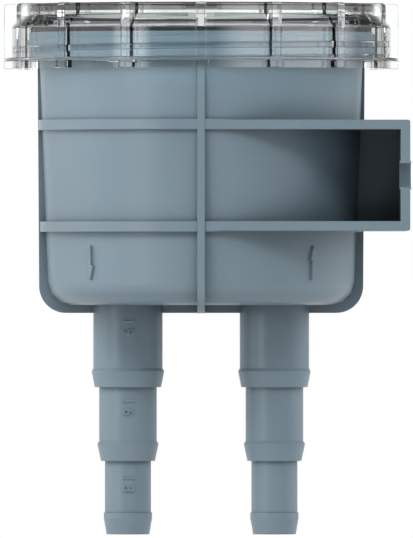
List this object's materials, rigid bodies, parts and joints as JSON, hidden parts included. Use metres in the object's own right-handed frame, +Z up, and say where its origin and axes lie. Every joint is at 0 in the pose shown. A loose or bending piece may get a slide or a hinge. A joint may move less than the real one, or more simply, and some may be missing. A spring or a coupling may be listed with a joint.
{
  "type": "sea water strainer",
  "caption": "Moulded sea water strainer with a clear screw lid on a round cup, a slotted basket inside, a box bracket on one side and stepped hose tails below.",
  "frame": {"origin": "middle of the face of the bracket's mounting wall, which is bolted to a bulkhead", "axes": "+X out of the mounting face into the bulkhead, +Z up to the lid, so the side with the flow arrows faces -Y"},
  "size_m": [0.1117, 0.1086, 0.1459],
  "materials": {
    "housing_plastic": "fine satin moulding",
    "basket_plastic": "satin moulding",
    "seal_rubber": "matte",
    "clear_plastic": "clear and polished"
  },
  "bodies": {
    "strainer_body": {"housing": "housing_plastic", "strainer_basket": "basket_plastic"},
    "seal_ring": {"lid_seal": "seal_rubber"},
    "screw_lid": {"lid": "clear_plastic"}
  },
  "joints": [
    {"name": "lid_rise", "type": "slide", "parent": "strainer_body", "child": "seal_ring", "axis": [0, 0, 1], "range_m": [0, 0.00811]},
    {"name": "lid_turn", "type": "hinge", "parent": "seal_ring", "child": "screw_lid", "pos_m": [-0.05707, 0, 0.04055], "axis": [0, 0, 1], "range_deg": [0, 810]}
  ],
  "couplings": [
    {"joint": "lid_rise", "follows": "lid_turn", "m_per_rad": 0.00057296}
  ]
}
